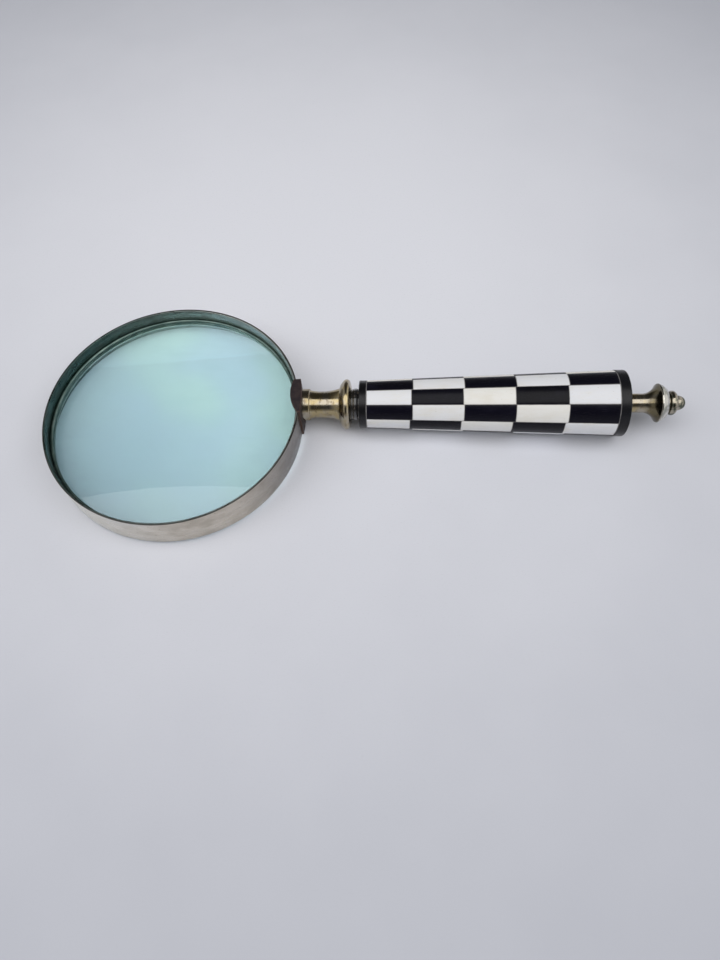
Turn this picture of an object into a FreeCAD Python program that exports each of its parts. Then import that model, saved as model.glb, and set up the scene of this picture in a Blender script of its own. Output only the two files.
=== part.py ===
import FreeCAD, Part
import os
import re
import Sketcher

# Hand magnifying glass with a checkerboard inlaid grip, in millimetres.
#
# The origin is the centre of the lens. +Z is the optical axis and +X runs along the handle.
# The handle lies in the lens's plane, but its axis passes a little to one side of the lens's
# centre, as hand-made ones often do, so the saddle sits off the X axis as well and not quite
# centred on the handle.
#
# How it goes together: a plated strip is bent into the rim band. The lens lies on a seat ring
# and is held by a split wire ring. A dark saddle clip grips the band, and a tie rod, riveted
# in the saddle, carries the whole handle: neck ferrule, collar, front ring, wooden core with
# its glued tiles, rear ring, washer and the finial, which is the nut.

document = FreeCAD.newDocument("MagnifyingGlass")
sheet = document.addObject("Spreadsheet::Sheet", "Sizes")

DRIVING_SIZES = {
    # rim band and what it holds
    "ring_radius": 52.0,
    "ring_wall": 1.0,
    "ring_depth": 15.4,
    "ring_edge_break": 0.2,
    "lens_radius": 50.8,
    "lens_edge": 2.4,
    "lens_curve": 290.0,
    "lens_bevel": 0.4,
    "seat_inner_radius": 49.8,
    "seat_depth": 1.2,
    "wire_radius": 0.6,
    "wire_circle": 50.35,
    "wire_gap_angle": 3.0,
    "wire_gap_bearing": 262.0,
    "rest_gap": 0.02,
    # saddle clip over the band
    "saddle_plate": 1.3,
    "saddle_lip": 0.8,
    "saddle_width": 16.2,
    "saddle_far_lip": 2.9,
    "saddle_near_lip": 0.95,
    "saddle_lip_curve": 16.2,
    "saddle_round": 0.25,
    "saddle_bearing": 6.2,
    "saddle_skew": 4.5,
    # the rod that the handle is threaded on: stations along X and radii
    "handle_offset": 6.7,
    "rod_radius": 2.0,
    "running_gap": 0.05,
    "rod_start": 50.2,
    "rod_head_radius": 4.2,
    "rod_head_end": 52.5,
    "rod_chamfer": 0.4,
    "rod_end": 194.6,
    # neck ferrule
    "neck_start": 50.5,
    "bead_end": 55.8,
    "bead_radius": 6.5,
    "bead_round": 0.6,
    "waist_start": 56.3,
    "waist_front_radius": 5.75,
    "waist_curve": 24.0,
    "waist_end": 67.4,
    "waist_rear_radius": 6.45,
    "flare_start": 67.8,
    "flare_foot_radius": 6.6,
    "flare_curve": 7.0,
    "flange_edge": 69.9,
    "flange_radius": 10.03,
    "flange_edge_curve": 1.5,
    "flange_back": 72.2,
    "flange_back_radius": 9.43,
    "neck_end": 73.0,
    # collar
    "collar_radius": 6.2,
    "collar_groove": 0.4,
    "collar_bead_curve": 1.9,
    "collar_end": 76.05,
    # grip
    "grip_start": 78.95,
    "front_ring_radius": 9.8,
    "grip_front_radius": 9.85,
    "grip_rear_radius": 13.35,
    "course_1_length": 18.6,
    "course_2_length": 20.6,
    "course_3_length": 20.4,
    "course_4_length": 20.55,
    "course_5_length": 19.85,
    "tile_rows": 10,
    "tile_thickness": 2.0,
    "tile_seam": 0.14,
    "tile_seam_angle": 0.7,
    "core_bore": 2.3,
    "rear_ring_radius": 13.45,
    "rear_ring_length": 3.95,
    "ring_round": 0.45,
    # washer and finial: the finial's stations count from its own front face
    "washer_radius": 4.9,
    "washer_thickness": 0.6,
    "finial_bore_depth": 11.7,
    "finial_foot_radius": 4.35,
    "finial_foot_end": 0.6,
    "finial_foot_curve": 1.5,
    "finial_neck_start": 1.6,
    "finial_neck_radius": 3.85,
    "finial_neck_end": 7.7,
    "finial_flare_curve": 7.0,
    "finial_flare_end": 12.9,
    "finial_flare_radius": 7.6,
    "finial_edge_curve": 0.6,
    "finial_dome_start": 13.7,
    "finial_dome_radius": 7.8,
    "finial_dome_curve": 6.5,
    "finial_dome_end": 17.2,
    "finial_dome_end_radius": 4.75,
    "finial_bead_start": 17.5,
    "finial_bead_radius": 4.1,
    "finial_bead_curve": 1.68,
    "finial_bead_end": 20.45,
    "finial_groove": 20.7,
    "finial_groove_radius": 2.6,
    "finial_tip_start": 20.8,
    "finial_tip_radius": 3.15,
    "finial_tip_curve": 5.0,
    "finial_nose": 23.7,
    "finial_nose_radius": 2.1,
    "finial_nose_curve": 3.2,
    "finial_length": 24.5,
}
COURSES = 5
COLOURS = ("white", "black")
OUTWARD, INWARD = 1, -1

for number, (alias, size) in enumerate(DRIVING_SIZES.items(), start=1):
    sheet.set(f"A{number}", alias)
    sheet.set(f"B{number}", str(size))
    sheet.setAlias(f"B{number}", alias)
document.recompute()

sub_parts = []


# --- how the pieces are made ---


def sized(expression):
    """The same expression, with every driving size's name pointing at the sheet."""

    def in_sheet(match):
        word = match.group(0)
        return f"Sizes.{word}" if word in DRIVING_SIZES else word

    return re.sub(r"[A-Za-z_]\w*", in_sheet, expression)


def value_of(expression):
    return float(sheet.evalExpression(sized(expression)))


def drive(item, name, expression):
    item.setExpression(name, sized(expression))


def sub_part(item, label):
    item.Label = label
    sub_parts.append(item)
    return item


def origin_feature(body, role):
    return next(item for item in body.Origin.OriginFeatures if item.Role == role)


def new_sketch(body, name, plane):
    sketch = body.newObject("Sketcher::SketchObject", name)
    sketch.AttachmentSupport = [(origin_feature(body, plane), "")]
    sketch.MapMode = "FlatFace"
    return sketch


def dimension(sketch, kind, places, expression):
    """Adds a driven dimension, such as "Radius" of edge 0."""
    number = sketch.addConstraint(Sketcher.Constraint(kind, *places, value_of(expression)))
    drive(sketch, f"Constraints[{number}]", expression)


def arc(start, end, radius, side):
    """An arc that bulges to the left (OUTWARD) or right (INWARD) of the way from start to end.

    The sketcher's arcs run anticlockwise, so one that bulges to the left is drawn backwards.
    """
    chord = end - start
    rise = radius - (radius**2 - chord.Length**2 / 4) ** 0.5
    left = FreeCAD.Vector(-chord.y, chord.x, 0).normalize()
    middle = start + chord * 0.5 + left * rise * side
    return Part.Arc(end, middle, start) if side == OUTWARD else Part.Arc(start, middle, end)


def outline(body, name, plane, corners):
    """A closed, fully dimensioned sketch on one of the body's origin planes.

    A corner is (across, up). A corner that starts an arc is (across, up, radius, side).
    """
    sketch = new_sketch(body, name, plane)
    points = [FreeCAD.Vector(value_of(corner[0]), value_of(corner[1]), 0) for corner in corners]
    for corner, start, end in zip(corners, points, points[1:] + points[:1]):
        if len(corner) == 2:
            sketch.addGeometry(Part.LineSegment(start, end), False)
        else:
            sketch.addGeometry(arc(start, end, value_of(corner[2]), corner[3]), False)

    def ends(index):
        """The sketcher's numbers for where an edge starts and ends on the way round."""
        return (2, 1) if OUTWARD in corners[index][3:] else (1, 2)

    for index, corner in enumerate(corners):
        start, end = ends(index)
        following = (index + 1) % len(corners)
        meeting = (index, end, following, ends(following)[0])
        sketch.addConstraint(Sketcher.Constraint("Coincident", *meeting))
        for expression, kind, axis in ((corner[0], "DistanceX", -2), (corner[1], "DistanceY", -1)):
            if expression == "0":
                sketch.addConstraint(Sketcher.Constraint("PointOnObject", index, start, axis))
            else:
                dimension(sketch, kind, (-1, 1, index, start), expression)
        if len(corner) > 2:
            dimension(sketch, "Radius", (index,), corner[2])
    return sketch


def circle_sketch(body, name, plane, across, up, radius):
    sketch = new_sketch(body, name, plane)
    centre = FreeCAD.Vector(value_of(across), value_of(up), 0)
    circle = Part.Circle(centre, FreeCAD.Vector(0, 0, 1), value_of(radius))
    sketch.addGeometry(circle, False)
    dimension(sketch, "Radius", (0,), radius)
    for expression, kind, axis in ((across, "DistanceX", -2), (up, "DistanceY", -1)):
        if expression == "0":
            sketch.addConstraint(Sketcher.Constraint("PointOnObject", 0, 3, axis))
        else:
            dimension(sketch, kind, (-1, 1, 0, 3), expression)
    return sketch


def revolve(body, sketch, axis):
    """Turns a sketch about X ("H_Axis") or Z ("V_Axis")."""
    turning = body.newObject("PartDesign::Revolution", f"{body.Name}_turning")
    turning.Profile = sketch
    turning.ReferenceAxis = (sketch, [axis])
    turning.Angle = 360
    return turning


def turned_on_lens_axis(name, corners):
    """A body turned about Z from corners of (radius, height)."""
    body = document.addObject("PartDesign::Body", name)
    revolve(body, outline(body, f"{name}_outline", "XZ_Plane", corners), "V_Axis")
    return body


def turned_on_handle(name, corners):
    """A body turned about the handle's axis from corners of (station, radius)."""
    body = document.addObject("PartDesign::Body", name)
    revolve(body, outline(body, f"{name}_outline", "XZ_Plane", corners), "H_Axis")
    drive(body, "Placement.Base.y", "handle_offset")
    return body


def cut(name, base, tool):
    piece = document.addObject("Part::Cut", f"{name}_cut")
    piece.Base = base
    piece.Tool = tool
    return piece


def upright_cylinder(name, radius, height):
    """A cylinder about the lens's axis, as far above the lens as below it."""
    tool = document.addObject("Part::Cylinder", name)
    drive(tool, "Radius", radius)
    drive(tool, "Height", height)
    drive(tool, "Placement.Base.z", f"-({height}) / 2")
    return tool


# --- rim band, lens and the two rings that hold it ---

BAND_INNER = "(ring_radius - ring_wall)"
BAND_TOP = "(ring_depth / 2)"


def lens_surface(radius):
    """Height of the lens's upper surface above its middle plane, at a radius."""
    return (
        f"(lens_edge / 2 + sqrt(lens_curve ^ 2 - {radius} ^ 2)"
        " - sqrt(lens_curve ^ 2 - lens_radius ^ 2))"
    )


def make_rim_band():
    corners = [
        (f"{BAND_INNER} + ring_edge_break", f"-{BAND_TOP}"),
        ("ring_radius - ring_edge_break", f"-{BAND_TOP}"),
        ("ring_radius", f"-{BAND_TOP} + ring_edge_break"),
        ("ring_radius", f"{BAND_TOP} - ring_edge_break"),
        ("ring_radius - ring_edge_break", BAND_TOP),
        (f"{BAND_INNER} + ring_edge_break", BAND_TOP),
        (BAND_INNER, f"{BAND_TOP} - ring_edge_break"),
        (BAND_INNER, f"-{BAND_TOP} + ring_edge_break"),
    ]
    sub_part(turned_on_lens_axis("rim_band", corners), "rim_band")


def make_lens():
    bevel_start = "(lens_radius - lens_bevel)"
    corners = [
        ("0", f"-{lens_surface('0')}", "lens_curve", INWARD),
        (bevel_start, f"-{lens_surface(bevel_start)}"),
        ("lens_radius", "-lens_edge / 2 + lens_bevel"),
        ("lens_radius", "lens_edge / 2 - lens_bevel"),
        (bevel_start, lens_surface(bevel_start), "lens_curve", INWARD),
        ("0", lens_surface("0")),
    ]
    sub_part(turned_on_lens_axis("lens", corners), "lens")


def make_lens_seat_ring():
    outer = f"{BAND_INNER} - rest_gap"
    top = f"-{lens_surface('seat_inner_radius')} - rest_gap"
    corners = [
        ("seat_inner_radius", f"{top} - seat_depth"),
        (outer, f"{top} - seat_depth"),
        (outer, top),
        ("seat_inner_radius", top),
    ]
    sub_part(turned_on_lens_axis("lens_seat_ring", corners), "lens_seat_ring")


def make_retaining_wire_ring():
    """A round wire bent into an open ring, resting on the lens just inside its bevel."""
    body = document.addObject("PartDesign::Body", "retaining_wire_ring")
    height = f"{lens_surface('(wire_circle - wire_radius)')} + wire_radius + rest_gap"
    sketch = circle_sketch(body, "wire_section", "XZ_Plane", "wire_circle", height, "wire_radius")
    drive(revolve(body, sketch, "V_Axis"), "Angle", "360 - wire_gap_angle")
    body.Placement.Rotation.Axis = FreeCAD.Vector(0, 0, 1)
    drive(body, "Placement.Rotation.Angle", "wire_gap_bearing")
    sub_part(body, "retaining_wire_ring")


# --- saddle clip and tie rod ---

ROD_BORE = "(rod_radius + running_gap)"
SADDLE_OUTER = "(ring_radius + saddle_plate)"
SLOT_RADIUS = "(ring_radius + rest_gap)"
SADDLE_FACE_X = f"({SADDLE_OUTER} * (1 - cos(saddle_skew)))"
SADDLE_FACE_Y = f"({SADDLE_OUTER} * sin(saddle_skew))"


def make_saddle_clip():
    """A D-shaped block slotted for the band, so that a lip lies over each of its edges.

    Its outer face, with its centre at SADDLE_FACE_X and SADDLE_FACE_Y, is turned back a little
    from the band towards the square of the handle, so the plate is thinner at its near end.
    """
    half_width = "(saddle_width / 2)"
    near = f"({SADDLE_FACE_X} + sqrt({SADDLE_OUTER} ^ 2 - ({half_width} + {SADDLE_FACE_Y}) ^ 2))"
    far = f"({SADDLE_FACE_X} + sqrt({SADDLE_OUTER} ^ 2 - ({half_width} - {SADDLE_FACE_Y}) ^ 2))"
    corners = [
        (near, f"-{half_width}", SADDLE_OUTER, INWARD),
        (far, half_width),
        (f"{far} - saddle_far_lip", half_width, "saddle_lip_curve", INWARD),
        (f"{near} - saddle_near_lip", f"-{half_width}"),
    ]
    body = document.addObject("PartDesign::Body", "saddle_block")
    pad = body.newObject("PartDesign::Pad", "saddle_pad")
    pad.Profile = outline(body, "saddle_outline", "XY_Plane", corners)
    pad.SideType = "Symmetric"
    drive(pad, "Length", "ring_depth + 2 * rest_gap + 2 * saddle_lip")
    document.recompute()

    top = pad.Shape.BoundBox.ZMax
    rims = [
        f"Edge{number}"
        for number, edge in enumerate(pad.Shape.Edges, start=1)
        if abs(edge.BoundBox.ZMin) > top - 0.01 and abs(edge.BoundBox.ZMax) > top - 0.01
        and edge.BoundBox.ZLength < 0.01
    ]
    rounding = body.newObject("PartDesign::Fillet", "saddle_rounding")
    rounding.Base = (pad, rims)
    drive(rounding, "Radius", "saddle_round")

    slot = body.newObject("PartDesign::Pocket", "saddle_slot")
    slot.Profile = circle_sketch(body, "slot_circle", "XY_Plane", "0", "0", SLOT_RADIUS)
    slot.SideType = "Symmetric"
    drive(slot, "Length", "ring_depth + 2 * rest_gap")
    body.Placement.Rotation.Axis = FreeCAD.Vector(0, 0, 1)
    drive(body, "Placement.Rotation.Angle", "saddle_bearing")
    document.recompute()
    if slot.Shape.Volume > 0.5 * rounding.Shape.Volume:
        raise RuntimeError("the saddle's slot has cut nothing")

    hole_corners = [
        ("rod_start", "0"),
        ("rod_start", "rod_head_radius + running_gap"),
        ("rod_head_end", ROD_BORE),
        ("bead_end", ROD_BORE),
        ("bead_end", "0"),
    ]
    hole = turned_on_handle("saddle_hole", hole_corners)
    sub_part(cut("saddle_clip", body, hole), "saddle_clip")


def make_tie_rod():
    """The head is filed flush with the inside of the saddle's plate, so it clears the band."""
    corners = [
        ("rod_start", "0"),
        ("rod_start", "rod_head_radius"),
        ("rod_head_end", "rod_radius"),
        ("rod_end - rod_chamfer", "rod_radius"),
        ("rod_end", "rod_radius - rod_chamfer"),
        ("rod_end", "0"),
    ]
    rod = turned_on_handle("rod_turning", corners)
    filed_off = upright_cylinder("band_space", SLOT_RADIUS, "ring_depth")
    sub_part(cut("tie_rod", rod, filed_off), "tie_rod")


# --- neck ---


def make_neck_ferrule():
    """Turned from bar, with its front end filed hollow to sit on the curved saddle."""
    corners = [
        ("neck_start", ROD_BORE),
        ("neck_start", "bead_radius"),
        ("bead_end - bead_round", "bead_radius", "bead_round", OUTWARD),
        ("bead_end", "bead_radius - bead_round"),
        ("waist_start", "waist_front_radius", "waist_curve", INWARD),
        ("waist_end", "waist_rear_radius"),
        ("flare_start", "flare_foot_radius", "flare_curve", OUTWARD),
        ("flange_edge", "flange_radius", "flange_edge_curve", OUTWARD),
        ("flange_back", "flange_back_radius"),
        ("neck_end", "collar_radius"),
        ("neck_end", ROD_BORE),
    ]
    neck = turned_on_handle("neck_turning", corners)
    hollow = upright_cylinder("saddle_space", f"{SADDLE_OUTER} + rest_gap", "2 * ring_depth")
    across, along = "cos(saddle_bearing)", "sin(saddle_bearing)"
    drive(hollow, "Placement.Base.x", f"{SADDLE_FACE_X} * {across} - {SADDLE_FACE_Y} * {along}")
    drive(hollow, "Placement.Base.y", f"{SADDLE_FACE_X} * {along} + {SADDLE_FACE_Y} * {across}")
    sub_part(cut("neck_ferrule", neck, hollow), "neck_ferrule")


def make_collar_ring():
    corners = [
        ("neck_end", ROD_BORE),
        ("neck_end", "collar_radius"),
        ("neck_end + collar_groove", "collar_radius", "collar_bead_curve", OUTWARD),
        ("collar_end - collar_groove", "collar_radius"),
        ("collar_end", "collar_radius"),
        ("collar_end", ROD_BORE),
    ]
    sub_part(turned_on_handle("collar_ring", corners), "collar_ring")


# --- grip ---


def course_start(course):
    """Station where a course of tiles starts; course 6 would start where the grip ends."""
    lengths = [f" + course_{earlier}_length" for earlier in range(1, course)]
    return f"(grip_start{''.join(lengths)})"


GRIP_END = course_start(COURSES + 1)
REAR_FACE = f"({GRIP_END} + rear_ring_length)"


def grip_radius(station):
    """Outer radius of the tapered grip at a station."""
    taper = f"(grip_rear_radius - grip_front_radius) / ({GRIP_END} - grip_start)"
    return f"(grip_front_radius + ({station} - grip_start) * {taper})"


def make_end_rings():
    front = [
        ("collar_end", ROD_BORE),
        ("collar_end", "front_ring_radius - ring_round", "ring_round", OUTWARD),
        ("collar_end + ring_round", "front_ring_radius"),
        ("grip_start", "front_ring_radius"),
        ("grip_start", ROD_BORE),
    ]
    sub_part(turned_on_handle("front_end_ring", front), "front_end_ring")
    rear = [
        (GRIP_END, ROD_BORE),
        (GRIP_END, "rear_ring_radius"),
        (f"{REAR_FACE} - ring_round", "rear_ring_radius", "ring_round", OUTWARD),
        (REAR_FACE, "rear_ring_radius - ring_round"),
        (REAR_FACE, ROD_BORE),
    ]
    sub_part(turned_on_handle("rear_end_ring", rear), "rear_end_ring")


def make_grip_core():
    corners = [
        ("grip_start", "core_bore"),
        ("grip_start", "grip_front_radius - tile_thickness"),
        (GRIP_END, "grip_rear_radius - tile_thickness"),
        (GRIP_END, "core_bore"),
    ]
    sub_part(turned_on_handle("grip_core", corners), "grip_core")


def make_tiles(course, colour, rows_on):
    """Every other tile of a course: one is turned, the rest are patterned round the grip.

    A row's first edge is rows_on rows round from the top, towards -Y.
    """
    name = f"course_{course}_{colour}_tiles"
    start = f"({course_start(course)} + tile_seam / 2)"
    end = f"({course_start(course + 1)} - tile_seam / 2)"
    corners = [
        (start, f"{grip_radius(start)} - tile_thickness + rest_gap"),
        (start, grip_radius(start)),
        (end, grip_radius(end)),
        (end, f"{grip_radius(end)} - tile_thickness + rest_gap"),
    ]
    body = document.addObject("PartDesign::Body", name)
    sketch = outline(body, f"{name}_outline", "XZ_Plane", corners)
    tile = revolve(body, sketch, "H_Axis")
    drive(tile, "Angle", "360 / tile_rows - tile_seam_angle")
    pattern = body.newObject("PartDesign::PolarPattern", f"{name}_pattern")
    pattern.Originals = [tile]
    pattern.Axis = (sketch, ["H_Axis"])
    pattern.Angle = 360
    drive(pattern, "Occurrences", "tile_rows / 2")
    body.Tip = pattern
    body.Placement.Rotation.Axis = FreeCAD.Vector(1, 0, 0)
    turn = f"{rows_on} * 360 / tile_rows + tile_seam_angle / 2"
    drive(body, "Placement.Rotation.Angle", turn)
    drive(body, "Placement.Base.y", "handle_offset")
    sub_part(body, name)


def make_checkerboard():
    for course in range(1, COURSES + 1):
        for rows_on, colour in enumerate(COLOURS if course % 2 else reversed(COLOURS)):
            make_tiles(course, colour, rows_on)


# --- finial ---


def make_finial_washer():
    rear = f"({REAR_FACE} + washer_thickness)"
    corners = [
        (REAR_FACE, ROD_BORE),
        (REAR_FACE, "washer_radius"),
        (rear, "washer_radius"),
        (rear, ROD_BORE),
    ]
    sub_part(turned_on_handle("finial_washer", corners), "finial_washer")


def make_finial():
    """The turned knob that is screwed on to the tie rod and holds the handle together."""
    foot = f"({REAR_FACE} + washer_thickness)"

    def at(station):
        return f"{foot} + {station}"

    corners = [
        (foot, ROD_BORE),
        (foot, "finial_foot_radius"),
        (at("finial_foot_end"), "finial_foot_radius", "finial_foot_curve", INWARD),
        (at("finial_neck_start"), "finial_neck_radius"),
        (at("finial_neck_end"), "finial_neck_radius", "finial_flare_curve", INWARD),
        (at("finial_flare_end"), "finial_flare_radius", "finial_edge_curve", OUTWARD),
        (at("finial_dome_start"), "finial_dome_radius", "finial_dome_curve", OUTWARD),
        (at("finial_dome_end"), "finial_dome_end_radius"),
        (at("finial_bead_start"), "finial_bead_radius", "finial_bead_curve", OUTWARD),
        (at("finial_bead_end"), "finial_bead_radius"),
        (at("finial_groove"), "finial_groove_radius"),
        (at("finial_tip_start"), "finial_tip_radius", "finial_tip_curve", OUTWARD),
        (at("finial_nose"), "finial_nose_radius", "finial_nose_curve", OUTWARD),
        (at("finial_length"), "0"),
        (at("finial_bore_depth"), "0"),
        (at("finial_bore_depth"), ROD_BORE),
    ]
    sub_part(turned_on_handle("finial", corners), "finial")


# --- check and write ---


def check():
    failed = [
        f"{item.Name}: {state}"
        for item in document.Objects
        for state in item.State
        if state in ("Invalid", "Error")
    ]
    for piece in sub_parts:
        if piece.Shape.isNull() or not piece.Shape.isValid():
            failed.append(f"{piece.Label}: bad shape")
        solids = len(piece.Shape.Solids)
        wanted = DRIVING_SIZES["tile_rows"] / 2 if "tiles" in piece.Label else 1
        if solids != wanted:
            failed.append(f"{piece.Label}: {solids} solids, not {wanted}")
    if failed:
        raise RuntimeError("; ".join(failed))


def write():
    os.makedirs("parts", exist_ok=True)
    for piece in sub_parts:
        piece.Shape.exportStep(f"parts/{piece.Label}.step")


make_rim_band()
make_lens()
make_lens_seat_ring()
make_retaining_wire_ring()
make_saddle_clip()
make_tie_rod()
make_neck_ferrule()
make_collar_ring()
make_end_rings()
make_grip_core()
make_checkerboard()
make_finial_washer()
make_finial()
document.recompute()
check()
write()
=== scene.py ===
import math
import random

import bmesh
import bpy
from mathutils import Matrix, Vector, noise


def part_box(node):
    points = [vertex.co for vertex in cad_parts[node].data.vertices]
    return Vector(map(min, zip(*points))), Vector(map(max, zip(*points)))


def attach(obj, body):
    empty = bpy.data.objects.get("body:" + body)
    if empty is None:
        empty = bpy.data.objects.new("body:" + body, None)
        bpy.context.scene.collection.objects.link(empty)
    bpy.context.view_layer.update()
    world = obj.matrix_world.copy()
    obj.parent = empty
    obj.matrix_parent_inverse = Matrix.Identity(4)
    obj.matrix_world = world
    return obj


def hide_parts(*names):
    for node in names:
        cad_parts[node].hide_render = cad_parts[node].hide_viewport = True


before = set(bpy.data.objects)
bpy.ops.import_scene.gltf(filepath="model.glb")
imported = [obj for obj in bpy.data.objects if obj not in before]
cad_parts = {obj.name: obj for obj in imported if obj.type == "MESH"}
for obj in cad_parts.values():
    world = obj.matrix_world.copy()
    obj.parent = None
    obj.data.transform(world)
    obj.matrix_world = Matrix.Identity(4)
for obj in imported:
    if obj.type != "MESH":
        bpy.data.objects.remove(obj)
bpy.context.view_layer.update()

MM = 0.001  # one millimetre in the frame's metres
TURN = 2 * math.pi
COURSES = 5
TILE_ROWS = 10
SHARP_ANGLE = 40  # degrees between two faces, past which their edge is shaded sharp

# Sizes of the pieces that stand for CAD nodes, in millimetres.
BAND_WALL = 1.0
BAND_EDGE_ROUND = 0.2
BAND_WAVE = 0.05
LENS_EDGE = 2.4
LENS_BEVEL = 0.4
GRIP_FRONT_RADIUS = 9.85
GRIP_REAR_RADIUS = 13.35
TILE_THICKNESS = 2.0
TILE_EDGE_ROUND = 0.22
TILE_SEAM_ANGLE = 0.7
SEAM = 0.14
END_SEAM = 0.3
SEAM_DEPTH = 0.10
ROW_SLIPS = (-0.25, 0.2, -0.9, 0.3, -0.2, 0.5, -0.4, 0.1, 0.25, 0.4)  # one for each row of tiles
ROD_RADIUS = 2.0
THREAD_PITCH = 0.7
THREAD_DEPTH = 0.36
THREAD_START = 176.0
DOME_START = 197.0  # where the finial's dome with its painted highlight begins


# ---------------------------------------------------------------- places in the frame

def middle(node):
    low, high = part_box(node)
    return (low + high) / 2


def ends(node):
    """The first and last place of a node along the handle, in millimetres."""
    low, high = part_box(node)
    return low.x / MM, high.x / MM


HANDLE_Y = middle("rear_end_ring").y / MM
BAND_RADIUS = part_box("rim_band")[1].x / MM
BAND_HALF_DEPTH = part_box("rim_band")[1].z / MM
LENS_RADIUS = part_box("lens")[1].x / MM
LENS_HALF_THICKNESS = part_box("lens")[1].z / MM
GRIP_START = ends("front_end_ring")[1]
GRIP_END = ends("rear_end_ring")[0]


def grip_radius(x):
    share = (x - GRIP_START) / (GRIP_END - GRIP_START)
    return GRIP_FRONT_RADIUS + (GRIP_REAR_RADIUS - GRIP_FRONT_RADIUS) * share


def on_handle(x, angle, radius):
    """A point round the handle's axis; the angle is in radians from +Z towards -Y."""
    return Vector((x, HANDLE_Y - radius * math.sin(angle), radius * math.cos(angle))) * MM


def on_lens(height, angle, radius):
    """A point round the lens's axis; the angle is in radians from +X towards +Y."""
    return Vector((radius * math.cos(angle), radius * math.sin(angle), height)) * MM


# ---------------------------------------------------------------- meshes

def piece(name, points, faces, slot, node=None):
    """A new mesh piece that rides on the glass's body and may stand for a CAD node."""
    mesh = bpy.data.meshes.new(name)
    mesh.from_pydata(points, [], faces)
    shape = bmesh.new()
    shape.from_mesh(mesh)
    bmesh.ops.recalc_face_normals(shape, faces=shape.faces)
    shape.to_mesh(mesh)
    shape.free()
    mesh.shade_smooth()
    mesh.set_sharp_from_angle(angle=math.radians(SHARP_ANGLE))
    made = bpy.data.objects.new(name, mesh)
    bpy.context.scene.collection.objects.link(made)
    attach(made, "glass")
    if node:
        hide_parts(node)
    return made


def wrapped_grid(rows, columns, close_rows=False):
    """Faces of a grid of points whose columns run right round, one point after the other."""
    faces = []
    for i in range(rows if close_rows else rows - 1):
        a, b = i * columns, (i + 1) % rows * columns
        for j in range(columns):
            k = (j + 1) % columns
            faces.append((a + j, a + k, b + k, b + j))
    return faces


def softened(corners, radius, steps=4):
    """A closed outline with every corner rounded to a radius."""
    outline = []
    for i, corner in enumerate(corners):
        here = Vector(corner)
        before = (Vector(corners[i - 1]) - here).normalized()
        after = (Vector(corners[(i + 1) % len(corners)]) - here).normalized()
        half = before.angle(after) / 2
        reach = radius / math.tan(half)
        centre = here + (before + after).normalized() * radius / math.sin(half)
        start, end = before * reach - (centre - here), after * reach - (centre - here)
        for step in range(steps + 1):
            towards = start.lerp(end, step / steps).normalized()
            outline.append(centre + towards * radius)
    return outline


def turned(name, outline, place, segments, **facts):
    """A lathed ring: place(along, angle, radius) puts each point of a closed outline round the axis."""
    points = []
    for along, radius in outline:
        for j in range(segments):
            points.append(place(along, TURN * j / segments, radius))
    faces = wrapped_grid(len(outline), segments, close_rows=True)
    return piece(name, points, faces, **facts)


# ---------------------------------------------------------------- materials

def colour(red, green, blue):
    """A display colour, 0 to 255 a channel, as the linear value that a shader takes."""
    shares = [channel / 255 for channel in (red, green, blue)]
    linear = [s / 12.92 if s <= 0.04045 else ((s + 0.055) / 1.055) ** 2.4 for s in shares]
    return (*linear, 1.0)


NICKEL, BRASS = colour(168, 160, 145), colour(170, 155, 118)
# Whiter nickel for the painted highlight on the finial's dome.
PAINTED_HIGHLIGHT_NICKEL = colour(218, 215, 208)


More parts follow.
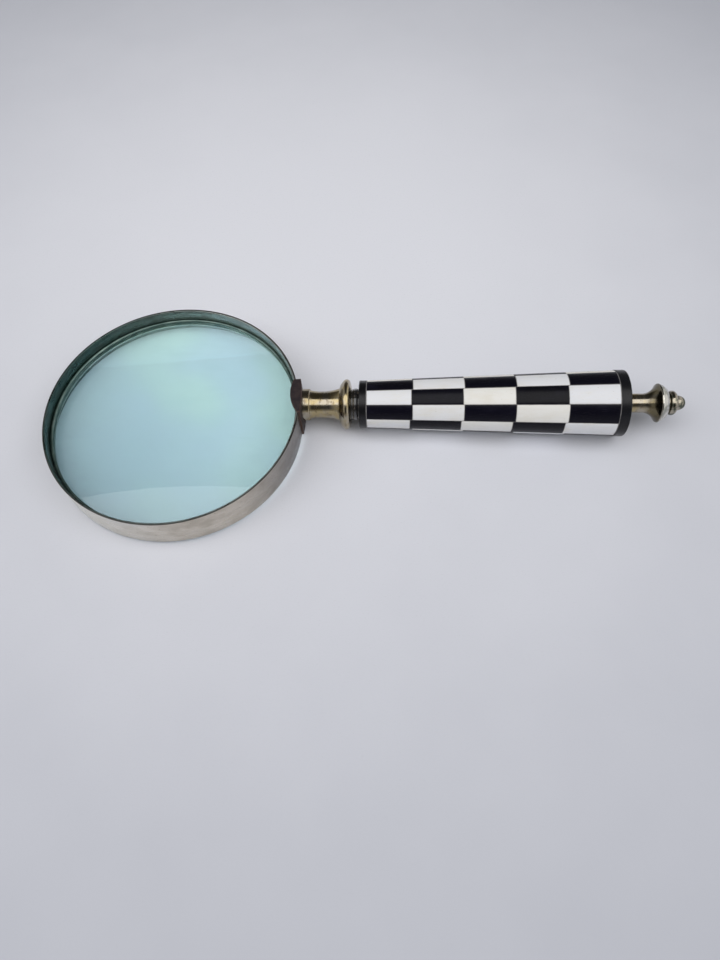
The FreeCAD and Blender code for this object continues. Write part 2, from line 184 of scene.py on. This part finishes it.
class Look:
    """A material and short calls for the nodes it needs. Places and lengths in it are in millimetres."""

    def __init__(self, name, **plain):
        self.material = bpy.data.materials.new(name)
        self.material.use_nodes = True
        self.tree = self.material.node_tree
        self.shader = self.tree.nodes["Principled BSDF"]
        for socket, value in plain.items():
            self.shader.inputs[socket.replace("_", " ")].default_value = value
        object_place = self.add("TexCoord", {}).outputs["Object"]
        scaled = self.add("VectorMath", {0: object_place, "Scale": 1 / MM}, operation="SCALE")
        self.place = scaled.outputs[0]
        self.x, self.y, self.z = self.add("SeparateXYZ", {0: self.place}).outputs

    def add(self, kind, values, **settings):
        """A node with its settings, and its inputs from values: numbers or other nodes' outputs."""
        node = self.tree.nodes.new("ShaderNode" + kind)
        for setting, value in settings.items():
            setattr(node, setting, value)
        for key, value in values.items():
            self.put(node.inputs[key], value)
        return node

    def put(self, socket, value):
        if isinstance(value, bpy.types.NodeSocket):
            self.tree.links.new(value, socket)
        else:
            socket.default_value = value

    def maths(self, operation, *values):
        return self.add("Math", dict(enumerate(values)), operation=operation).outputs[0]

    def grain(self, size, stretch=(1, 1, 1), detail=4, roughness=0.55, shift=0.0):
        """Noise from 0 to 1 with features of about this size, longer along axes with more stretch."""
        scales = tuple(1 / (size * s) for s in stretch)
        where = self.add("VectorMath", {0: self.place, 1: scales}, operation="MULTIPLY").outputs[0]
        where = self.add("VectorMath", {0: where, 1: (shift, shift, shift)}, operation="ADD").outputs[0]
        inputs = {"Vector": where, "Scale": 1.0, "Detail": detail, "Roughness": roughness}
        return self.add("TexNoise", inputs).outputs["Fac"]

    def between(self, value, low, high, start=0.0, end=1.0):
        """start where value is at low, end where it is at high, and a smooth change in between."""
        inputs = {"Value": value, "From Min": low, "From Max": high, "To Min": start, "To Max": end}
        return self.add("MapRange", inputs, interpolation_type="SMOOTHSTEP").outputs[0]

    def mixed(self, share, first, second):
        node = self.add("Mix", {}, data_type="RGBA")
        for socket, value in zip((node.inputs[0], node.inputs[6], node.inputs[7]), (share, first, second)):
            self.put(socket, value)
        return node.outputs[2]

    def hollows(self, reach):
        """1 in grooves and corners narrower than reach, and 0 on open surface."""
        node = self.add("AmbientOcclusion", {"Distance": reach * MM}, samples=8, only_local=True)
        return self.between(node.outputs["AO"], 0.35, 0.85, 1.0, 0.0)

    def worn_edges(self, reach):
        """1 on outside edges, where handling polishes, and 0 on open surface."""
        node = self.add("AmbientOcclusion", {"Distance": reach * MM}, samples=8, only_local=True, inside=True)
        return self.between(node.outputs["AO"], 0.55, 0.95, 1.0, 0.0)

    def distance_from_lens_axis(self):
        squares = [self.maths("MULTIPLY", part, part) for part in (self.x, self.y)]
        return self.maths("SQRT", self.maths("ADD", *squares))

    def finish(self, base, roughness, height, depth):
        """Feeds the shader: a colour, a roughness and a relief of the given depth."""
        self.put(self.shader.inputs["Base Color"], base)
        self.put(self.shader.inputs["Roughness"], roughness)
        bump = self.add("Bump", {"Height": height, "Distance": depth * MM, "Strength": 1.0})
        self.put(self.shader.inputs["Normal"], bump.outputs[0])
        return self.material


def band_nickel():
    """Thin nickel-plated sheet, rubbed round and round.

    Outside it has painted light and shade: painted brighter towards -X and painted darker grey near the
    saddle.
    Inside it is painted dark and greenish, a painted reflection of the lens's green edge over dark tarnish,
    and painted lighter towards the handle.
    """
    look = Look("band_nickel", Metallic=1.0)
    rubbed = look.grain(0.16, (60, 60, 1), detail=5)
    clouds = look.grain(9, (1, 1, 0.6), detail=5, roughness=0.6)
    bloom = look.grain(30, (1, 1, 0.5), detail=2, shift=7.0)
    specks = look.between(look.grain(0.9, detail=2, shift=3.0), 0.70, 0.76)
    outside = look.mixed(look.between(clouds, 0.35, 0.7), colour(208, 200, 188), colour(186, 178, 165))
    outside = look.mixed(look.between(bloom, 0.45, 0.7), outside, colour(204, 202, 198))
    # Painted light and shade outside: painted brighter towards -X and painted darker grey near the saddle.
    handled = look.maths("ADD", look.x, look.maths("MULTIPLY", bloom, 20))
    outside = look.mixed(look.between(handled, 34, 66, 0.0, 0.85), outside, colour(104, 102, 104))
    outside = look.mixed(look.between(handled, -45, 25, 1.0, 0.0), outside, colour(238, 237, 228))
    edge = look.between(look.maths("ABSOLUTE", look.z), BAND_HALF_DEPTH - 0.12, BAND_HALF_DEPTH - 0.04)
    outside = look.mixed(edge, outside, colour(74, 74, 72))
    # Painted reflection and shade inside: dark greenish like the lens's edge, painted darker on the -X side
    # and lighter towards +X.
    painted_light_side = look.between(look.maths("ADD", look.x, look.maths("MULTIPLY", bloom, 30)), -35, 60)
    inside = look.mixed(painted_light_side, colour(82, 104, 100), colour(186, 192, 188))
    inside = look.mixed(look.between(clouds, 0.45, 0.75, 0.0, 0.5), inside, colour(96, 104, 102))
    wall = look.distance_from_lens_axis()
    inner = look.between(wall, BAND_RADIUS - 0.3 * BAND_WALL, BAND_RADIUS - 0.7 * BAND_WALL)
    base = look.mixed(inner, outside, inside)
    base = look.mixed(look.maths("MULTIPLY", specks, 0.7), base, colour(60, 50, 44))
    roughness = look.between(look.maths("ADD", rubbed, clouds), 0.7, 1.3, 0.22, 0.42)
    roughness = look.maths("ADD", roughness, look.maths("MULTIPLY", specks, 0.25))
    return look.finish(base, roughness, look.maths("SUBTRACT", rubbed, specks), 0.006)


def clear_glass():
    """Optical glass with a cool tint, faint wiping streaks and a few specks of dust."""
    look = Look("clear_glass", Transmission_Weight=1.0, IOR=1.52)
    wiped = look.grain(14, (1, 0.35, 1), detail=6, roughness=0.65)
    dust = look.between(look.grain(0.5, detail=1, shift=5.0), 0.80, 0.84)
    # Painted shade: the glass's tint is darker towards -X and -Y.
    painted_shade_fade = look.between(look.maths("ADD", look.x, look.maths("MULTIPLY", look.y, 0.6)), -62, 30)
    hue = look.between(look.grain(34, detail=1, shift=2.0), 0.35, 0.65)
    tint = look.mixed(hue, colour(206, 231, 235), colour(210, 238, 231))
    tint = look.mixed(painted_shade_fade, colour(185, 210, 214), tint)
    tint = look.mixed(look.between(wiped, 0.45, 0.75, 0.0, 0.5), tint, colour(196, 225, 224))
    tint = look.mixed(dust, tint, colour(120, 130, 130))
    roughness = look.maths("ADD", look.between(wiped, 0.5, 0.8, 0.0, 0.03), look.maths("MULTIPLY", dust, 0.4))
    return look.finish(tint, roughness, wiped, 0.001)


def dull_brass(name, fresh, dull, shift):
    """Unpolished plated wire and strip, darkened where it is never rubbed."""
    look = Look(name, Metallic=1.0)
    clouds = look.grain(4, detail=5, shift=shift)
    drawn = look.grain(0.12, (30, 30, 1), detail=3, shift=shift)
    base = look.mixed(look.between(clouds, 0.35, 0.65), fresh, dull)
    roughness = look.between(drawn, 0.2, 0.8, 0.32, 0.5)
    return look.finish(base, roughness, drawn, 0.01)


def brown_bronze():
    """Cast bronze, oxidised nearly black, with warmer brown where it is handled."""
    look = Look("brown_bronze", Metallic=0.7)
    clouds = look.grain(2.2, detail=6, roughness=0.62)
    fine = look.grain(0.18, detail=4, shift=2.0)
    base = look.mixed(look.between(clouds, 0.35, 0.68), colour(56, 49, 53), colour(72, 62, 62))
    base = look.mixed(look.worn_edges(0.6), base, colour(94, 72, 62))
    roughness = look.between(fine, 0.2, 0.8, 0.42, 0.62)
    return look.finish(base, roughness, look.maths("ADD", clouds, fine), 0.05)


def worn_plate(name, shift, painted_highlight_from=None):
    """Turned brass with most of its nickel gone: yellow where it is rubbed, brown in the grooves.

    On the finial, before the station passed in along the handle, the flare is painted dark as painted
    shade; then the dome is painted bright, whiter nickel, as a painted highlight; then a bead and a tip
    spotted with tarnish.
    """
    look = Look(name, Metallic=1.0)
    clouds = look.grain(5, detail=5, roughness=0.6, shift=shift)
    blotches = look.grain(1.6, (1, 1.6, 1.6), detail=5, shift=shift + 4)
    tooled = look.grain(0.10, (1, 50, 50), detail=4, shift=shift)
    base = look.mixed(look.between(clouds, 0.38, 0.62), NICKEL, BRASS)
    base = look.mixed(look.between(blotches, 0.5, 0.7, 0.0, 0.6), base, colour(112, 96, 74))
    if painted_highlight_from:
        along = look.maths("ADD", look.x, look.maths("MULTIPLY", clouds, 1.5))
        # Painted shade: the flare before the dome is painted dark.
        painted_dark_flare = look.between(along, painted_highlight_from - 6, painted_highlight_from - 2, 0.0, 0.75)
        base = look.mixed(painted_dark_flare, base, colour(72, 68, 54))
        # Painted highlight: the dome is painted bright, whiter nickel, with a few greyer blotches.
        bright = look.mixed(look.between(blotches, 0.42, 0.66), PAINTED_HIGHLIGHT_NICKEL, colour(168, 168, 158))
        base = look.mixed(look.between(along, painted_highlight_from, painted_highlight_from + 1), base, bright)
        spotted = look.mixed(look.between(blotches, 0.44, 0.6), NICKEL, colour(86, 92, 80))
        base = look.mixed(look.between(along, painted_highlight_from + 4, painted_highlight_from + 5), base, spotted)
    grooves = look.hollows(1.4)
    base = look.mixed(grooves, base, colour(84, 76, 62))
    roughness = look.between(blotches, 0.35, 0.75, 0.12, 0.28)
    roughness = look.maths("ADD", roughness, look.maths("MULTIPLY", grooves, 0.2))
    relief = look.maths("ADD", tooled, look.maths("MULTIPLY", blotches, 0.8))
    return look.finish(base, roughness, relief, 0.008)


def collar_black():
    """Glossy black lacquer on a turned ring, thin on its beads."""
    look = Look("collar_black", Coat_Weight=1.0, Coat_Roughness=0.06)
    tooled = look.grain(0.14, (1, 30, 30), detail=3)
    chips = look.grain(0.7, (1, 2.5, 2.5), detail=4, shift=6.0)
    base = look.mixed(look.between(chips, 0.56, 0.66), colour(34, 33, 35), colour(96, 88, 80))
    roughness = look.between(chips, 0.3, 0.7, 0.16, 0.34)
    return look.finish(base, roughness, look.maths("ADD", tooled, chips), 0.02)


def black_horn(name, light, streak_length, shift):
    """Polished black horn with fine lengthwise fibres and softer, greyer clouds."""
    look = Look(name, Specular_IOR_Level=0.3)
    fibres = look.grain(0.22, (streak_length, 1, 1), detail=5, shift=shift)
    clouds = look.grain(6, (2, 1, 1), detail=4, shift=shift)
    base = look.mixed(look.between(clouds, 0.3, 0.7), colour(*light), colour(10, 10, 13))
    base = look.mixed(look.between(fibres, 0.62, 0.8, 0.0, 0.3), base, colour(44, 42, 48))
    roughness = look.between(look.maths("ADD", fibres, clouds), 0.7, 1.3, 0.2, 0.36)
    return look.finish(base, roughness, fibres, 0.008)


def tile_tone(look):
    """Each tile's own number from 0 to 1, kept on its mesh."""
    return look.add("Attribute", {}, attribute_name="tile_tone").outputs["Fac"]


def white_bone():
    """Polished white bone: faint lengthwise grain, a few pores, and each piece a little warmer or cooler."""
    look = Look("white_bone", Specular_IOR_Level=0.28)
    lengthwise = look.grain(0.35, (22, 1, 1), detail=5)
    clouds = look.grain(5, (2.5, 1, 1), detail=4, shift=3.0)
    pores = look.between(look.grain(0.28, (5, 1, 1), detail=1, shift=9.0), 0.74, 0.80)
    base = look.mixed(tile_tone(look), colour(236, 235, 230), colour(229, 231, 236))
    base = look.mixed(look.between(clouds, 0.45, 0.8, 0.0, 0.6), base, colour(222, 217, 203))
    base = look.mixed(look.between(lengthwise, 0.5, 0.8, 0.0, 0.35), base, colour(212, 206, 192))
    base = look.mixed(look.maths("MULTIPLY", pores, 0.5), base, colour(150, 138, 118))
    base = look.mixed(look.worn_edges(0.35), base, colour(198, 194, 186))
    roughness = look.between(lengthwise, 0.3, 0.8, 0.2, 0.34)
    return look.finish(base, roughness, look.maths("SUBTRACT", lengthwise, pores), 0.01)


def black_tiles():
    """Polished black horn cut into tiles, some bluer and some browner."""
    look = Look("black_tiles", Specular_IOR_Level=0.14)
    fibres = look.grain(0.2, (24, 1, 1), detail=5, shift=1.0)
    clouds = look.grain(4, (2.5, 1, 1), detail=4, shift=8.0)
    base = look.mixed(tile_tone(look), colour(15, 14, 26), colour(12, 12, 15))
    base = look.mixed(look.between(clouds, 0.5, 0.8, 0.0, 0.5), base, colour(30, 29, 42))
    base = look.mixed(look.between(fibres, 0.6, 0.8, 0.0, 0.3), base, colour(50, 47, 54))
    base = look.mixed(look.worn_edges(0.35), base, colour(60, 58, 66))
    roughness = look.between(fibres, 0.3, 0.8, 0.18, 0.32)
    return look.finish(base, roughness, fibres, 0.008)


def seam_resin():
    """Grey resin in the gaps between the tiles, dusty and a little sunken."""
    look = Look("seam_resin")
    grit = look.grain(0.15, detail=4)
    patches = look.grain(3, detail=3, shift=2.0)
    base = look.mixed(look.between(patches, 0.3, 0.7), colour(104, 102, 104), colour(134, 132, 132))
    base = look.mixed(look.between(grit, 0.6, 0.8, 0.0, 0.5), base, colour(70, 68, 70))
    return look.finish(base, look.between(grit, 0.2, 0.8, 0.5, 0.8), grit, 0.03)


def thread_steel():
    """Plain steel rod with a cut thread, oily grey, rust in its roots."""
    look = Look("thread_steel", Metallic=1.0)
    drawn = look.grain(0.08, (40, 1, 1), detail=4)
    clouds = look.grain(2.5, detail=4, shift=5.0)
    base = look.mixed(look.between(clouds, 0.4, 0.7), colour(150, 150, 152), colour(122, 118, 114))
    base = look.mixed(look.hollows(0.5), base, colour(74, 58, 48))
    return look.finish(base, look.between(drawn, 0.2, 0.8, 0.26, 0.44), drawn, 0.006)


def core_wood():
    """The turned wooden core under the tiles, with its grain along the handle."""
    look = Look("core_wood")
    rings = look.grain(1.4, (18, 1, 1), detail=6, roughness=0.6)
    fibres = look.grain(0.2, (30, 1, 1), detail=4, shift=4.0)
    base = look.mixed(look.between(rings, 0.3, 0.7), colour(168, 130, 88), colour(120, 84, 52))
    base = look.mixed(look.between(fibres, 0.5, 0.8, 0.0, 0.5), base, colour(88, 60, 38))
    return look.finish(base, look.between(rings, 0.3, 0.7, 0.55, 0.75), fibres, 0.04)


def pale_floor():
    """A pale cloth: fine weave, soft clouds, and a painted pool of light: a little bluer and darker away from
    the middle.
    """
    look = Look("pale_floor")
    clouds = look.grain(60, detail=3)
    weave = look.grain(0.6, (1.5, 1, 1), detail=3, shift=2.0)
    # Painted pool of light: lighter round a point on the floor, darker and bluer away from it.
    offsets = [look.maths("SUBTRACT", part, place) for part, place in ((look.x, 100.0), (look.y, 115.0))]
    squares = [look.maths("MULTIPLY", offset, offset) for offset in offsets]
    away = look.maths("SQRT", look.maths("ADD", *squares))
    away = look.maths("ADD", away, look.maths("MULTIPLY", clouds, 60))
    base = look.mixed(look.between(away, 60, 440), colour(229, 231, 239), colour(185, 188, 198))
    base = look.mixed(look.between(weave, 0.55, 0.8, 0.0, 0.25), base, colour(190, 193, 200))
    return look.finish(base, 0.9, weave, 0.02)


# ---------------------------------------------------------------- the ring and what it holds

def make_band():
    """The rim band: a thin strip with softly rounded edges, very slightly out of true."""
    inner, outer, half = BAND_RADIUS - BAND_WALL, BAND_RADIUS, BAND_HALF_DEPTH
    corners = ((-half, outer), (half, outer), (half, inner), (-half, inner))
    outline = softened(corners, BAND_EDGE_ROUND)
    rows = 10
    outline = filled_in(outline, 2 * half / rows)

    def place(height, angle, radius):
        sway = noise.noise((2.2 * math.cos(angle), 2.2 * math.sin(angle), height * 0.06))
        return on_lens(height, angle, radius - BAND_WAVE * (0.5 + 0.5 * sway))

    band = turned("band", outline, place, 360, node="rim_band", slot="nickel_plate")
    band.data.materials.append(band_nickel())


def filled_in(outline, step):
    """A closed outline with points added along its straight runs, about step apart."""
    filled = []
    for i, start in enumerate(outline):
        end = outline[(i + 1) % len(outline)]
        parts = max(1, round((end - start).length / step))
        filled += [start.lerp(end, k / parts) for k in range(parts)]
    return filled


def make_lens():
    """The lens: two shallow domes on a ground edge with a small bevel."""
    rim = LENS_RADIUS - LENS_BEVEL
    rise = LENS_HALF_THICKNESS - LENS_EDGE / 2
    curve = (rim * rim + rise * rise) / (2 * rise)
    rings = 48
    dome = []
    for i in range(rings + 1):
        radius = rim * math.sin(0.25 * TURN * i / rings)
        dome.append((LENS_HALF_THICKNESS - curve + math.sqrt(curve**2 - radius**2), radius))
    dome.append((LENS_EDGE / 2 - LENS_BEVEL, LENS_RADIUS))
    upper, lower = dome[1:], [(-height, radius) for height, radius in reversed(dome[1:])]
    segments = 256
    points = [
        on_lens(height, TURN * j / segments, radius)
        for height, radius in upper + lower
        for j in range(segments)
    ]
    faces = wrapped_grid(len(upper) + len(lower), segments)
    top, bottom = len(points), len(points) + 1
    points += [Vector((0, 0, LENS_HALF_THICKNESS)) * MM, Vector((0, 0, -LENS_HALF_THICKNESS)) * MM]
    last = top - segments
    for j in range(segments):
        k = (j + 1) % segments
        faces.append((top, k, j))
        faces.append((bottom, last + j, last + k))
    lens = piece("magnifying_lens", points, faces, node="lens", slot="lens_glass")
    lens.data.materials.append(clear_glass())
    lens.visible_shadow = False  # light passes straight to what lies under the lens


# ---------------------------------------------------------------- the handle

def rounding(depth_a, depth_b, radius):
    """How far a rounded edge falls away at these two distances in from a tile's borders."""
    short_a, short_b = max(0.0, radius - depth_a), max(0.0, radius - depth_b)
    reach = min(radius, math.hypot(short_a, short_b))
    return radius - math.sqrt(radius * radius - reach * reach)


def across(width, inner_parts, radius):
    """Places across a width, close together near both ends, where the edges are rounded."""
    steps = 4
    near = [radius * (1 - math.cos(0.25 * TURN * i / steps)) for i in range(steps)]
    inner = [radius + (width - 2 * radius) * i / inner_parts for i in range(inner_parts + 1)]
    return near + inner + [width - place for place in reversed(near)]


class Layout:
    """Where the tiles meet: the rows were laid one by one, so each has slid a little along the grip."""

    def __init__(self, chance):
        stations = [ends(f"course_{n}_white_tiles") for n in range(1, COURSES + 1)]
        self.borders = [GRIP_START]
        self.borders += [(stations[n][1] + stations[n + 1][0]) / 2 for n in range(COURSES - 1)]
        self.borders += [GRIP_END]
        self.slips = [[0.0] * TILE_ROWS for _ in self.borders]
        for slips in self.slips[1:-1]:
            slips[:] = [slip + chance.uniform(-0.1, 0.1) for slip in ROW_SLIPS]
        step = TURN / TILE_ROWS
        sway = math.radians(0.35)
        self.turns = [
            [k * step + chance.uniform(-sway, sway) for k in range(TILE_ROWS)] for _ in range(COURSES)
        ]

    def border(self, number, row):
        return self.borders[number] + self.slips[number][row % TILE_ROWS]

    def turn(self, course, row):
        return self.turns[course - 1][row % TILE_ROWS] + TURN * (row // TILE_ROWS)

    def gap_after(self, number):
        """Half the width of the seam at a border; it is wider against the two end rings."""
        return END_SEAM / 2 if number in (0, COURSES) else SEAM / 2


def tile(start, end, first, last, lift):
    """Points and faces of one tile between two places along the handle and two angles."""
    centre_radius = grip_radius((start + end) / 2)
    alongs = across(end - start, 10, TILE_EDGE_ROUND)
    arcs = across((last - first) * centre_radius, 6, TILE_EDGE_ROUND)
    length, breadth = alongs[-1], arcs[-1]
    points = []
    for top in (True, False):
        for a in alongs:
            for b in arcs:
                fall = rounding(min(a, length - a), min(b, breadth - b), TILE_EDGE_ROUND)
                radius = grip_radius(start + a) + (lift - fall if top else -TILE_THICKNESS)
                points.append(on_handle(start + a, first + b / centre_radius, radius))
    n, m = len(alongs), len(arcs)
    faces = []
    for i in range(n - 1):
        for j in range(m - 1):
            a = i * m + j
            faces.append((a, a + m, a + m + 1, a + 1))
            a += n * m
            faces.append((a, a + 1, a + m + 1, a + m))
    border = list(range(m - 1)) + [i * m + m - 1 for i in range(n - 1)]
    border += [(n - 1) * m + j for j in range(m - 1, 0, -1)] + [i * m for i in range(n - 1, 0, -1)]
    for k, a in enumerate(border):
        b = border[(k + 1) % len(border)]
        faces.append((a, b, b + n * m, a + n * m))
    return points, faces


def make_course(number, shade, material, layout, chance):
    """The five tiles of one colour round one course of the grip."""
    node = f"course_{number}_{shade}_tiles"
    gap = math.radians(TILE_SEAM_ANGLE) / 2
    points, faces, tones = [], [], []
    offset = (number + (shade == "black") + 1) % 2
    for row in range(offset, TILE_ROWS, 2):
        lift = chance.uniform(-0.06, 0.0)
        tone = chance.random()
        start = layout.border(number - 1, row) + 2 * layout.gap_after(number - 1) * (number == 1)
        start += layout.gap_after(number - 1) * (number > 1)
        end = layout.border(number, row) - layout.gap_after(number) * (2 if number == COURSES else 1)
        first, last = layout.turn(number, row) + gap, layout.turn(number, row + 1) - gap
        more, quads = tile(start, end, first, last, lift)
        faces += [tuple(v + len(points) for v in quad) for quad in quads]
        points += more
        tones += [tone] * len(more)
    name = f"{shade}_tiles_{number}"
    made = piece(name, points, faces, node=node, slot="white_bone" if shade == "white" else "black_horn_tile")
    made.data.attributes.new("tile_tone", "FLOAT", "POINT").data.foreach_set("value", tones)
    made.data.materials.append(material)


def make_grip():
    chance = random.Random(7)
    layout = Layout(chance)
    white, black = white_bone(), black_tiles()
    for number in range(1, COURSES + 1):
        make_course(number, "white", white, layout, chance)
        make_course(number, "black", black, layout, chance)
    make_seams(layout)


def bent_bar(start, end, first, last, depth, steps):
    """A bar of resin between two stations and two angles, bent round the grip."""
    points = []
    for step in range(steps + 1):
        angle = first + (last - first) * step / steps
        for x, inset in ((start, TILE_THICKNESS), (end, TILE_THICKNESS), (end, depth), (start, depth)):
            points.append(on_handle(x, angle, grip_radius(x) - inset))
    faces = [(3, 2, 1, 0), tuple(4 * steps + v for v in range(4))]
    for step in range(steps):
        for v in range(4):
            w = (v + 1) % 4
            faces.append((4 * step + v, 4 * step + w, 4 * step + 4 + w, 4 * step + 4 + v))
    return points, faces


def make_seams(layout):
    """The resin between the tiles: a rib beside every tile and a bar across the end of each."""
    bars = []
    gap = math.radians(TILE_SEAM_ANGLE) / 2
    for course in range(1, COURSES + 1):
        for row in range(TILE_ROWS):
            turn = layout.turn(course, row)
            starts = [layout.border(course - 1, r) for r in (row - 1, row)]
            stops = [layout.border(course, r) for r in (row - 1, row)]
            bars.append(bent_bar(min(starts), max(stops), turn - gap, turn + gap, SEAM_DEPTH, 1))
    for number in range(COURSES + 1):
        beside = [course for course in (number, number + 1) if 1 <= course <= COURSES]
        for row in range(TILE_ROWS):
            first = min(layout.turn(course, row) for course in beside)
            last = max(layout.turn(course, row + 1) for course in beside)
            here, half = layout.border(number, row), layout.gap_after(number)
            start = here if number == 0 else here - half * (2 if number == COURSES else 1)
            end = here if number == COURSES else here + half * (2 if number == 0 else 1)
            bars.append(bent_bar(start, end, first, last, SEAM_DEPTH, 8))
    points, faces = [], []
    for more, sides in bars:
        faces += [tuple(v + len(points) for v in side) for side in sides]
        points += more
    seams = piece("seam_filler", points, faces, slot="core_wood")
    seams.data.materials.append(seam_resin())


def make_threaded_rod():
    """The tie rod, with its thread cut where the finial screws on."""
    start, end = ends("tie_rod")
    pitch_steps, segments = 8, 48
    plain = ((start + 0.4, ROD_RADIUS + 0.3), (start + 1.1, ROD_RADIUS), (THREAD_START, ROD_RADIUS))
    steps = int((end - THREAD_START) / THREAD_PITCH * pitch_steps)
    points = []
    for x, radius in plain:
        points += [on_handle(x, TURN * j / segments, radius) for j in range(segments)]
    for i in range(1, steps + 1):
        x = THREAD_START + i * THREAD_PITCH / pitch_steps
        fade = min(1.0, i / pitch_steps, (steps - i) / pitch_steps + 0.4)
        for j in range(segments):
            phase = (x / THREAD_PITCH - j / segments) % 1.0
            depth = THREAD_DEPTH * fade * min(1.0, abs(phase - 0.5) * 2.6)
            points.append(on_handle(x, TURN * j / segments, ROD_RADIUS - depth))
    rows = len(plain) + steps
    faces = wrapped_grid(rows, segments)
    faces += [tuple(reversed(range(segments))), tuple(range((rows - 1) * segments, rows * segments))]
    rod = piece("threaded_rod", points, faces, node="tie_rod", slot="threaded_steel")
    rod.data.materials.append(thread_steel())


def dress(node, material):
    """Gives a CAD node its material."""
    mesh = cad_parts[node].data
    mesh.materials.clear()
    mesh.materials.append(material)


def dress_cad_nodes():
    seat = dull_brass("seat_ring_brass", colour(196, 200, 194), colour(168, 180, 176), 0.0)
    wire = dull_brass("wire_ring_brass", colour(126, 146, 140), colour(98, 120, 116), 5.0)
    dress("lens_seat_ring", seat)
    dress("retaining_wire_ring", wire)
    dress("saddle_clip", brown_bronze())
    dress("neck_ferrule", worn_plate("neck_plate", 0.0))
    dress("finial", worn_plate("finial_plate", 11.0, painted_highlight_from=DOME_START))
    dress("finial_washer", worn_plate("washer_plate", 3.0))
    dress("collar_ring", collar_black())
    dress("front_end_ring", black_horn("front_ring_horn", (26, 26, 30), 0.6, 0.0))
    dress("rear_end_ring", black_horn("rear_ring_horn", (24, 25, 30), 0.6, 5.0))
    dress("grip_core", core_wood())


# ---------------------------------------------------------------- studio and camera

CAMERA_PLACE = Vector((90.2, -160.9, 247.9)) * MM
CAMERA_DOWN = 61.82  # degrees below the horizon
CAMERA_LEFT = 5.70  # degrees from +Y towards -X
CAMERA_ROLL = -5.02  # degrees; the object's length runs slightly uphill in the picture
CAMERA_LENS = 27.0
FLOOR_HALF_SIZE = 3.0  # metres
LIGHT_PLACE = (-0.2, -0.245, 1.0)
LIGHT_AIM = (-0.2, -0.245, 0.0)

# The room, all the way round from the floor beyond the object (0), over the ceiling (0.5),
# to the floor on the near side (1): places and how bright it is there.
ROOM = (
    (0.25, 0.16), (0.32, 0.05), (0.44, 0.05), (0.5, 0.3),
    (0.60, 0.3), (0.63, 0.05), (0.70, 0.06), (0.74, 0.4),
)


def make_camera():
    camera = bpy.data.objects.new("camera", bpy.data.cameras.new("camera"))
    camera.data.lens = CAMERA_LENS
    camera.data.sensor_width = 36.0
    camera.data.clip_start = 0.01
    turn = Matrix.Rotation(math.radians(CAMERA_LEFT), 4, "Z")
    tilt = Matrix.Rotation(math.radians(90 - CAMERA_DOWN), 4, "X")
    roll = Matrix.Rotation(math.radians(CAMERA_ROLL), 4, "Z")
    camera.matrix_world = Matrix.Translation(CAMERA_PLACE) @ turn @ tilt @ roll
    bpy.context.scene.collection.objects.link(camera)
    bpy.context.scene.camera = camera


def make_floor():
    """The table: it touches the ring's lower edge at its far end and the underside of the rear ring."""
    ring = Vector((-BAND_RADIUS, 0, -BAND_HALF_DEPTH))
    rear_low, rear_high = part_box("rear_end_ring")
    rear = Vector((rear_high.x / MM, 0, rear_low.z / MM))
    slope = math.atan2(ring.z - rear.z, rear.x - ring.x)
    mesh = bpy.data.meshes.new("floor")
    size = FLOOR_HALF_SIZE
    corners = [(-size, -size, 0), (size, -size, 0), (size, size, 0), (-size, size, 0)]
    mesh.from_pydata(corners, [], [(0, 1, 2, 3)])
    mesh.materials.append(pale_floor())
    floor = bpy.data.objects.new("floor", mesh)
    floor.matrix_world = Matrix.Translation(ring * MM) @ Matrix.Rotation(slope, 4, "Y")
    bpy.context.scene.collection.objects.link(floor)


def make_light(name, place, aim, size, power, tint):
    data = bpy.data.lights.new(name, "AREA")
    data.shape = "RECTANGLE"
    data.size, data.size_y = size
    data.energy = power
    data.color = tint
    light = bpy.data.objects.new(name, data)
    light.location = place
    light.rotation_euler = (Vector(aim) - Vector(place)).to_track_quat("-Z", "Y").to_euler()
    bpy.context.scene.collection.objects.link(light)


def make_studio():
    """One broad soft light overhead, a little to the near side, in a dim room with paler sides."""
    make_light("overhead", LIGHT_PLACE, LIGHT_AIM, (3.2, 0.91), 14.4, (1.0, 0.99, 0.985))
    world = bpy.data.worlds.new("room")
    bpy.context.scene.world = world
    world.use_nodes = True
    tree = world.node_tree

    def node(kind, inputs, **settings):
        made = tree.nodes.new("ShaderNode" + kind)
        for setting, value in settings.items():
            setattr(made, setting, value)
        for number, value in enumerate(inputs):
            if isinstance(value, bpy.types.NodeSocket):
                tree.links.new(value, made.inputs[number])
            else:
                made.inputs[number].default_value = value
        return made

    direction = node("TexCoord", ()).outputs["Generated"]
    x, y, z = node("SeparateXYZ", (direction,)).outputs
    towards_viewer = node("Math", (y, -1.0), operation="MULTIPLY").outputs[0]
    lean = node("Math", (towards_viewer, z), operation="ARCTAN2").outputs[0]
    share = node("Math", (lean, 1 / TURN, 0.5), operation="MULTIPLY_ADD").outputs[0]
    walls = node("ValToRGB", (share,))
    for _ in ROOM[2:]:
        walls.color_ramp.elements.new(1.0)
    for element, (position, grey) in zip(walls.color_ramp.elements, ROOM):
        element.position, element.color = position, (grey, grey * 0.985, grey * 0.96, 1)
    aside = node("Math", (x,), operation="ABSOLUTE").outputs[0]
    aside = node("MapRange", (aside, 0.35, 0.65), interpolation_type="SMOOTHSTEP").outputs[0]
    room = node("Mix", (), data_type="RGBA")
    tree.links.new(aside, room.inputs[0])
    tree.links.new(walls.outputs[0], room.inputs[6])
    sides = node("MapRange", (x, -1.0, 1.0, 0.4, 0.8))
    tree.links.new(sides.outputs[0], room.inputs[7])
    tree.links.new(room.outputs[2], tree.nodes["Background"].inputs["Color"])
    bpy.context.scene.view_settings.view_transform = "Standard"


make_band()
make_lens()
make_grip()
make_threaded_rod()
dress_cad_nodes()
make_floor()
make_studio()
make_camera()
